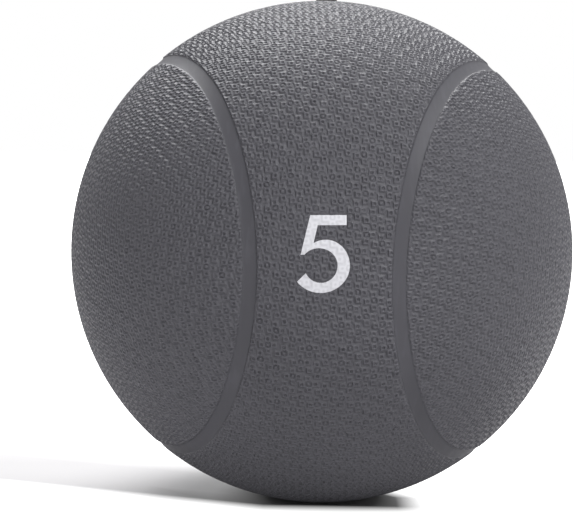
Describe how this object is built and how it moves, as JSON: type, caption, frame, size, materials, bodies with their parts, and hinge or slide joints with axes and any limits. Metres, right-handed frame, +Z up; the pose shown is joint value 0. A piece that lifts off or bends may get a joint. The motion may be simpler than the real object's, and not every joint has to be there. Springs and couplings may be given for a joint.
{
  "type": "medicine ball",
  "caption": "Weighted rubber medicine ball with an embossed grip cover, smooth curved grip channels, a printed weight number and an inflation valve.",
  "frame": {"origin": "the ball's lowest point, where it touches the floor", "axes": "+Z up through the ball's centre and out of the valve, -Y out of the front where the weight number is, +X towards the right-hand lobe"},
  "size_m": [0.24, 0.24, 0.2413],
  "materials": {
    "cover": "matte, embossed with a fine irregular maze of pips and rings",
    "channel": "matte, smooth",
    "ballast": "matte, coarse filled rubber",
    "thread": "wound nylon thread",
    "bladder": "smooth butyl",
    "patch": "rubberised cotton",
    "valve": "smooth satin",
    "plug": "smooth satin",
    "number": "white print"
  },
  "bodies": {
    "root": {"cover_belt": "cover", "cover_lobe_left": "cover", "cover_lobe_right": "cover", "channel_strip_left": "channel", "channel_strip_right": "channel", "ballast_half_upper": "ballast", "ballast_half_lower": "ballast", "thread_winding": "thread", "bladder": "bladder", "valve_patch": "patch", "valve_housing": "valve", "valve_plug": "plug", "weight_number": "number"}
  },
  "joints": []
}
